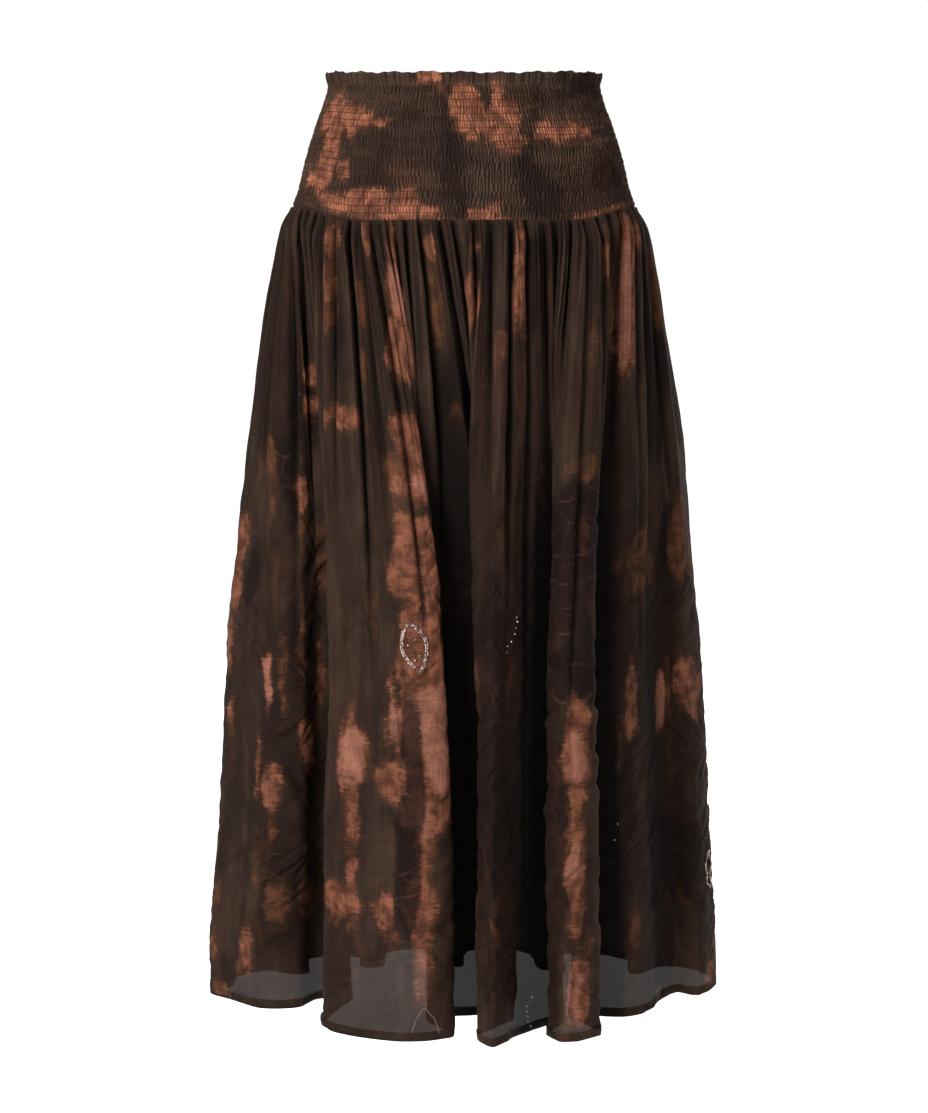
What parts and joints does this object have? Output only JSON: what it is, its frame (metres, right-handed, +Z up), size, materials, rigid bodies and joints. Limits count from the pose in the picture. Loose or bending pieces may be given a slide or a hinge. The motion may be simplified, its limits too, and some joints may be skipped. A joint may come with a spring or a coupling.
{
  "type": "maxi skirt",
  "caption": "Long gathered tie-dyed skirt with a shirred yoke and small frill, filled out as worn, open at waist and hem.",
  "frame": {"origin": "middle of the waist, level with the first elastic row, where the skirt is held", "axes": "+Z up from the hem to the waist, the front of the skirt faces -Y, +X is to the right of someone looking at the front"},
  "size_m": [0.5163, 0.4498, 0.926],
  "materials": {
    "yoke_cloth": "matt crinkled shirred cloth, olive brown with plum brown bands and rust patches",
    "skirt_cloth": "soft, slightly sheer crinkled cloth, olive brown with plum brown bands and rust streaks",
    "stitching": "dark sewing and elastic thread",
    "beads": "small pinkish silver-lined glass beads"
  },
  "bodies": {
    "root": {"yoke_front": "yoke_cloth", "yoke_back": "yoke_cloth", "skirt_front": "skirt_cloth", "skirt_back": "skirt_cloth"}
  },
  "joints": []
}
